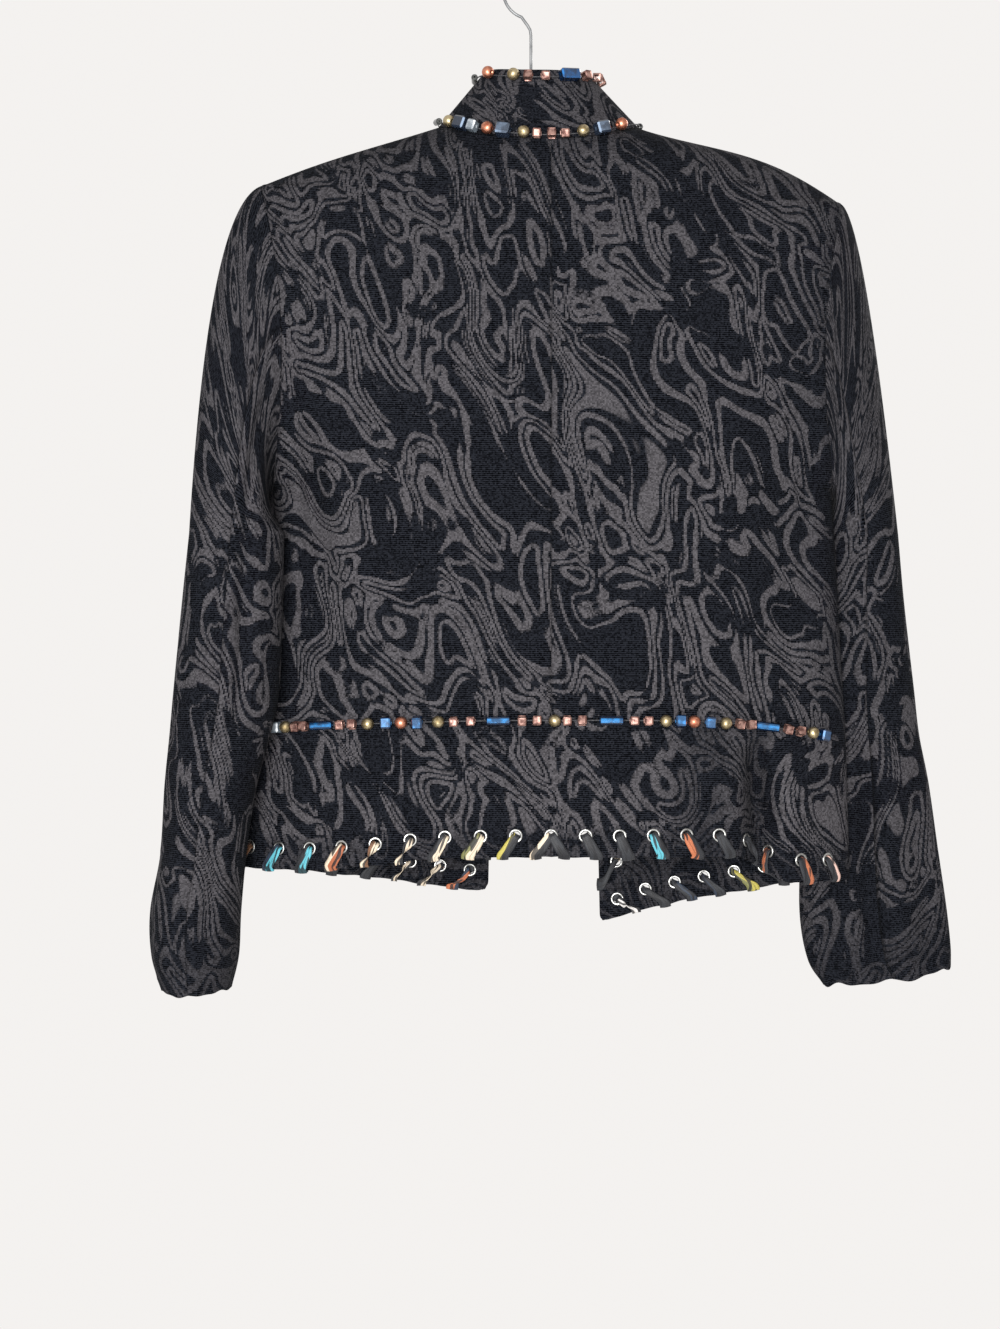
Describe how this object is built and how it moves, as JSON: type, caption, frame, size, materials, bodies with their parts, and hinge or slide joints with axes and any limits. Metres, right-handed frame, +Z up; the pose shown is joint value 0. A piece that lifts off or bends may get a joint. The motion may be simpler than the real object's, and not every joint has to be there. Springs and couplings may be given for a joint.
{
  "type": "lace-up jacket on a wire hanger",
  "caption": "Black jacquard short jacket with stand collar, bead trim at neck and waist and ribbon-laced eyelet hem, hanging on a wire hanger.",
  "frame": {"origin": "inside top of the hanger's hook, where it hangs on a rail", "axes": "+Z up, the jacket's back faces -Y and its open fronts face +Y, +X to the right of a viewer behind it"},
  "size_m": [0.6118, 0.1638, 0.7873],
  "materials": {
    "jacquard_cloth": "woven black and grey jacquard, soft sheen",
    "trim_beads": "mixed metal and glass beads",
    "eyelet_steel": "bright plated eyelets",
    "lace_ribbon": "printed flat ribbon",
    "hanger_wire": "plain steel wire"
  },
  "bodies": {
    "root": {"back_left": "jacquard_cloth", "back_right": "jacquard_cloth", "front_left": "jacquard_cloth", "front_right": "jacquard_cloth", "peplum_back": "jacquard_cloth", "peplum_front_left": "jacquard_cloth", "peplum_front_right": "jacquard_cloth", "collar": "jacquard_cloth", "sleeve_top_left": "jacquard_cloth", "sleeve_under_left": "jacquard_cloth", "sleeve_top_right": "jacquard_cloth", "sleeve_under_right": "jacquard_cloth", "beads_collar": "trim_beads", "beads_neck": "trim_beads", "beads_waist": "trim_beads", "eyelet_left_00": "eyelet_steel", "eyelet_left_01": "eyelet_steel", "eyelet_left_02": "eyelet_steel", "eyelet_left_03": "eyelet_steel", "eyelet_left_04": "eyelet_steel", "eyelet_left_05": "eyelet_steel", "eyelet_left_06": "eyelet_steel", "eyelet_left_07": "eyelet_steel", "eyelet_left_08": "eyelet_steel", "eyelet_left_09": "eyelet_steel", "eyelet_left_10": "eyelet_steel", "eyelet_left_11": "eyelet_steel", "eyelet_left_12": "eyelet_steel", "eyelet_left_13": "eyelet_steel", "eyelet_left_14": "eyelet_steel", "eyelet_left_15": "eyelet_steel", "eyelet_left_16": "eyelet_steel", "eyelet_left_17": "eyelet_steel", "eyelet_left_18": "eyelet_steel", "eyelet_right_01": "eyelet_steel", "eyelet_right_02": "eyelet_steel", "eyelet_right_03": "eyelet_steel", "eyelet_right_04": "eyelet_steel", "eyelet_right_05": "eyelet_steel", "eyelet_right_06": "eyelet_steel", "eyelet_right_07": "eyelet_steel", "eyelet_right_08": "eyelet_steel", "eyelet_right_09": "eyelet_steel", "eyelet_right_10": "eyelet_steel", "eyelet_right_11": "eyelet_steel", "eyelet_right_12": "eyelet_steel", "eyelet_right_13": "eyelet_steel", "eyelet_right_14": "eyelet_steel", "eyelet_right_15": "eyelet_steel", "eyelet_right_16": "eyelet_steel", "eyelet_right_17": "eyelet_steel", "eyelet_right_18": "eyelet_steel", "lace_left": "lace_ribbon", "lace_right": "lace_ribbon", "hanger": "hanger_wire"}
  },
  "joints": []
}
